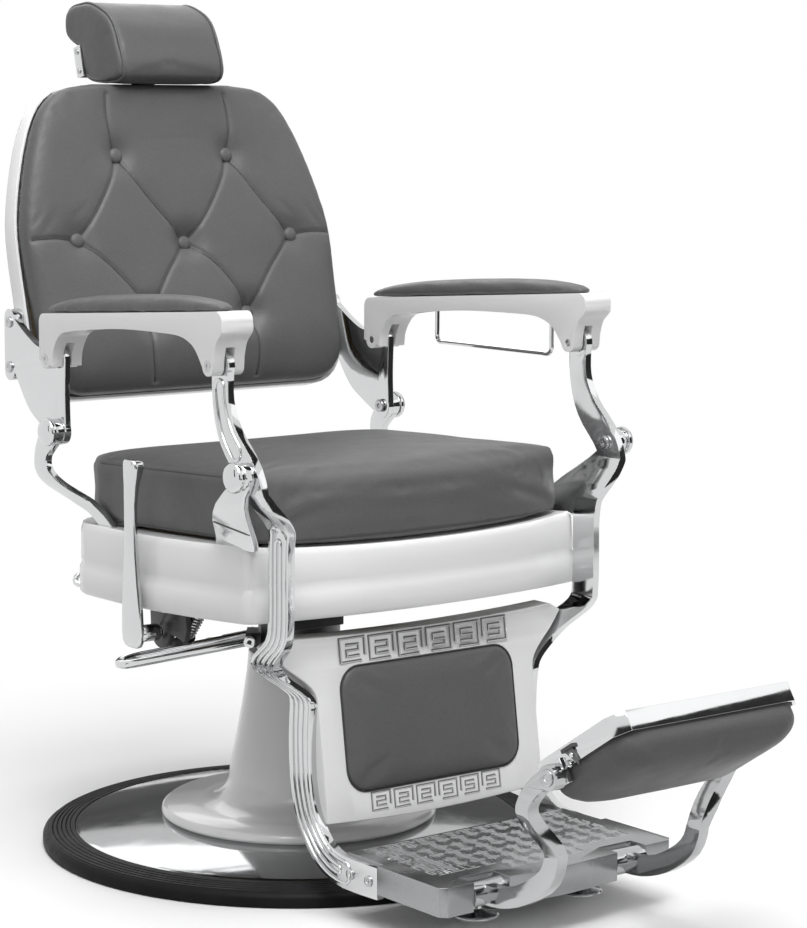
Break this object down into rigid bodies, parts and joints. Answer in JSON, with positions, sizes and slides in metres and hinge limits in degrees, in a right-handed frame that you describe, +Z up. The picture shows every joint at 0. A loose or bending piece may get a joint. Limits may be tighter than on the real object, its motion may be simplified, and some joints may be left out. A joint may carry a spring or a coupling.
{
  "type": "barber chair",
  "caption": "Hydraulic barber chair with tufted back, linked recline of back, armrests and leg frame, flip footrest and sliding headrest on a round base.",
  "frame": {"origin": "centre of the round base on the floor, under the axis of the lifting column", "axes": "+Z up; -Y the way the sitter faces; +X towards the sitter's left hand"},
  "size_m": [0.6999, 1.2653, 1.1413],
  "materials": {
    "leather": "fine grain, satin",
    "white_enamel": "gloss white enamel",
    "chrome": "polished",
    "black_paint": "semi-gloss black",
    "plywood": "unfinished, hidden",
    "plain_steel": "plain",
    "rubber": "matt"
  },
  "bodies": {
    "base": {"base_ring": "rubber", "base_disc": "chrome", "column_cover": "white_enamel", "pump_cylinder": "plain_steel", "cylinder_bolts": "plain_steel", "gland_ring": "plain_steel"},
    "lift_ram": {"ram": "chrome"},
    "seat": {"pump_head": "black_paint", "under_frame": "black_paint", "seat_pan": "plywood", "skirt": "white_enamel", "seat_cushion": "leather", "front_bracket_right": "chrome", "front_bracket_left": "chrome", "rear_support_right": "chrome", "rear_support_left": "chrome", "front_pivot_bolts": "chrome", "rear_pivot_bolts": "chrome", "pivot_caps": "plain_steel", "lever_bracket": "black_paint", "lock_rod": "black_paint", "lock_spring": "plain_steel", "rear_rail": "chrome"},
    "pedal": {"pump_pedal": "chrome"},
    "lever": {"recline_lever": "chrome"},
    "backrest": {"back_bracket_right": "chrome", "back_bracket_left": "chrome", "bracket_screws": "plain_steel", "back_shell": "white_enamel", "back_board": "plywood", "back_cushion": "leather", "back_buttons": "leather", "headrest_guide": "plain_steel"},
    "headrest_post": {"headrest_bar": "chrome"},
    "headrest": {"headrest_plate": "chrome", "headrest_screws": "plain_steel", "headrest_cushion": "leather"},
    "arm_right": {"armrest_right": "white_enamel", "armrest_pad_right": "leather", "armrest_screws_right": "plain_steel"},
    "arm_left": {"armrest_left": "white_enamel", "armrest_pad_left": "leather", "armrest_screws_left": "plain_steel", "towel_rail": "chrome"},
    "leg_frame": {"front_arm_right": "chrome", "front_arm_left": "chrome", "calf_panel": "white_enamel", "calf_pad": "leather", "foot_platform": "chrome", "platform_screws": "plain_steel", "platform_glides": "chrome", "hinge_rod": "plain_steel"},
    "footrest_arms": {"footrest_arm_right": "chrome", "footrest_arm_left": "chrome", "footrest_bolts": "plain_steel"},
    "footrest": {"footrest_tray": "chrome", "footrest_cushion": "leather"}
  },
  "joints": [
    {"name": "lift", "type": "slide", "parent": "base", "child": "lift_ram", "axis": [0, 0, 1], "range_m": [0, 0.15]},
    {"name": "swivel", "type": "hinge", "parent": "lift_ram", "child": "seat", "pos_m": [0, 0, 0.267], "axis": [0, 0, 1], "continuous": true},
    {"name": "pedal_press", "type": "hinge", "parent": "seat", "child": "pedal", "pos_m": [-0.05201, 0.04063, 0.277], "axis": [-0.6157, -0.788, 0], "range_deg": [0, 12], "stiffness_Nm_per_rad": 6, "springref_deg": -14.32},
    {"name": "recline_lever_pull", "type": "hinge", "parent": "seat", "child": "lever", "pos_m": [-0.29, -0.0565, 0.325], "axis": [-1, 0, 0], "range_deg": [0, 14], "stiffness_Nm_per_rad": 8, "springref_deg": -11.46},
    {"name": "back_recline", "type": "hinge", "parent": "seat", "child": "backrest", "pos_m": [0, 0.1659, 0.5637], "axis": [-1, 0, 0], "range_deg": [0, 40]},
    {"name": "leg_swing", "type": "hinge", "parent": "seat", "child": "leg_frame", "pos_m": [0, -0.2997, 0.5551], "axis": [-1, 0, 0], "range_deg": [0, 33]},
    {"name": "armrest_right_tilt", "type": "hinge", "parent": "backrest", "child": "arm_right", "pos_m": [-0.273, 0.166, 0.661], "axis": [-1, 0, 0], "range_deg": [-45, 0]},
    {"name": "armrest_left_tilt", "type": "hinge", "parent": "backrest", "child": "arm_left", "pos_m": [0.273, 0.166, 0.661], "axis": [-1, 0, 0], "range_deg": [-45, 0]},
    {"name": "headrest_slide", "type": "slide", "parent": "backrest", "child": "headrest_post", "axis": [0, 0.2504, 0.9681], "range_m": [0, 0.09]},
    {"name": "headrest_tilt", "type": "hinge", "parent": "headrest_post", "child": "headrest", "pos_m": [0, 0.42409, 1.05628], "axis": [-1, 0, 0], "range_deg": [0, 25]},
    {"name": "footrest_swing", "type": "hinge", "parent": "leg_frame", "child": "footrest_arms", "pos_m": [0, -0.533, 0.065], "axis": [-1, 0, 0], "range_deg": [0, 45]},
    {"name": "footrest_flip", "type": "hinge", "parent": "footrest_arms", "child": "footrest", "pos_m": [0, -0.706, 0.247], "axis": [-1, 0, 0], "range_deg": [0, 165]}
  ],
  "couplings": [
    {"joint": "leg_swing", "follows": "back_recline", "ratio": 0.8113},
    {"joint": "armrest_right_tilt", "follows": "back_recline", "ratio": -1.1019},
    {"joint": "armrest_left_tilt", "follows": "back_recline", "ratio": -1.1019}
  ]
}
